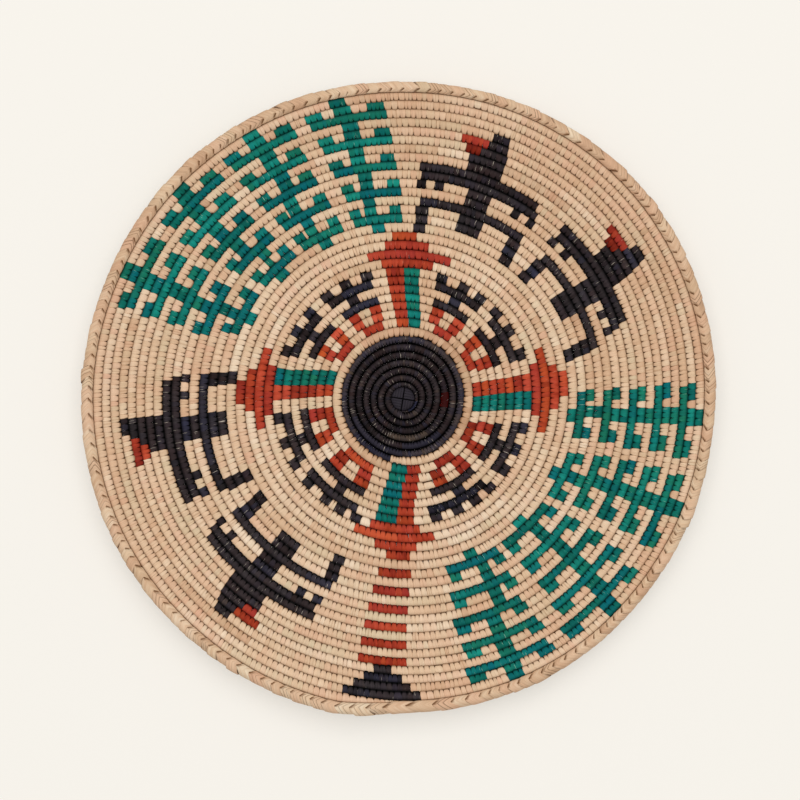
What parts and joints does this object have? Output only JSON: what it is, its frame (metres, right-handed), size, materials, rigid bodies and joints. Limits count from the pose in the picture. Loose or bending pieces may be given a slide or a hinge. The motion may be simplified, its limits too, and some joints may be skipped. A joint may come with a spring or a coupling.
{
  "type": "coiled basket plate",
  "caption": "Round coiled basket plate: a spiral of wrapped rows from a centre knot to a braided rim, a shallow dish with a flat base; hangs on a wall or rests on a table.",
  "frame": {"origin": "middle of the flat underside, under the middle of the rim's outline", "axes": "+Z out of the patterned face, +Y towards the top of the pattern as the picture shows it, so the row seam lies at -Y"},
  "size_m": [0.3788, 0.3792, 0.026],
  "materials": {
    "undyed_stitches": "matte",
    "black_stitches": "matte",
    "red_stitches": "matte",
    "green_stitches": "matte",
    "braid": "matte",
    "core_bundle": "matte"
  },
  "bodies": {
    "root": {"start_knot": "black_stitches", "coil_row_01": "black_stitches", "coil_row_02": "black_stitches", "coil_row_03": "black_stitches", "coil_row_04": "black_stitches", "coil_row_05": "black_stitches", "coil_row_06": "black_stitches", "coil_row_07": "black_stitches", "coil_row_08": "undyed_stitches", "coil_row_09": "undyed_stitches", "coil_row_10": "undyed_stitches", "coil_row_11": "undyed_stitches", "coil_row_12": "undyed_stitches", "coil_row_13": "undyed_stitches", "coil_row_14": "undyed_stitches", "coil_row_15": "undyed_stitches", "coil_row_16": "undyed_stitches", "coil_row_17": "undyed_stitches", "coil_row_18": "undyed_stitches", "coil_row_19": "undyed_stitches", "coil_row_20": "undyed_stitches", "coil_row_21": "undyed_stitches", "coil_row_22": "undyed_stitches", "coil_row_23": "undyed_stitches", "coil_row_24": "undyed_stitches", "coil_row_25": "undyed_stitches", "coil_row_26": "undyed_stitches", "coil_row_27": "undyed_stitches", "coil_row_28": "undyed_stitches", "coil_row_29": "undyed_stitches", "coil_row_30": "undyed_stitches", "coil_row_31": "undyed_stitches", "coil_row_32": "undyed_stitches", "coil_row_33": "undyed_stitches", "coil_row_34": "undyed_stitches", "coil_row_35": "undyed_stitches", "rim_core": "core_bundle", "rim_braid": "braid"}
  },
  "joints": []
}
